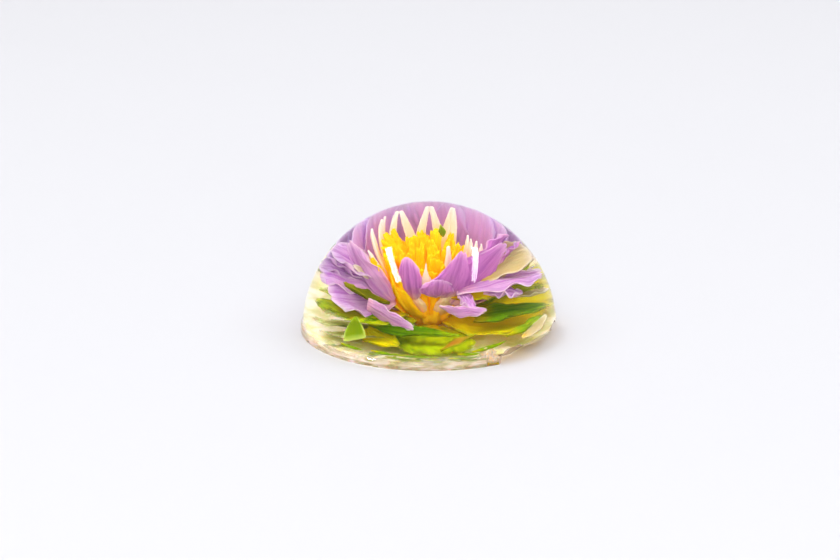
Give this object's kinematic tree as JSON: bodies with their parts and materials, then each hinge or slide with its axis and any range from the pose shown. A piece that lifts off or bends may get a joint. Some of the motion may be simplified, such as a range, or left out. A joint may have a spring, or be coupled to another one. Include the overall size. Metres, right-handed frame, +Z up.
{
  "type": "jelly flower",
  "caption": "Small clear jelly dome, turned out of a bowl mould, with a coloured jelly lotus set inside it. It rests on its flat face.",
  "frame": {"origin": "centre of the flat underside, on the surface that it rests on", "axes": "+Z up through the crown, -Y the front that the picture shows, +X to the right of that front"},
  "size_m": [0.0804, 0.0812, 0.04],
  "materials": {
    "clear_jelly": "clear set jelly with a wet gloss",
    "petal_purple": "soft milky jelly, purple",
    "petal_cream": "soft milky jelly, cream",
    "stamen_yellow": "soft milky jelly, egg yellow",
    "leaf_green": "soft milky jelly, leaf green"
  },
  "bodies": {
    "root": {"jelly": "clear_jelly"}
  },
  "joints": []
}
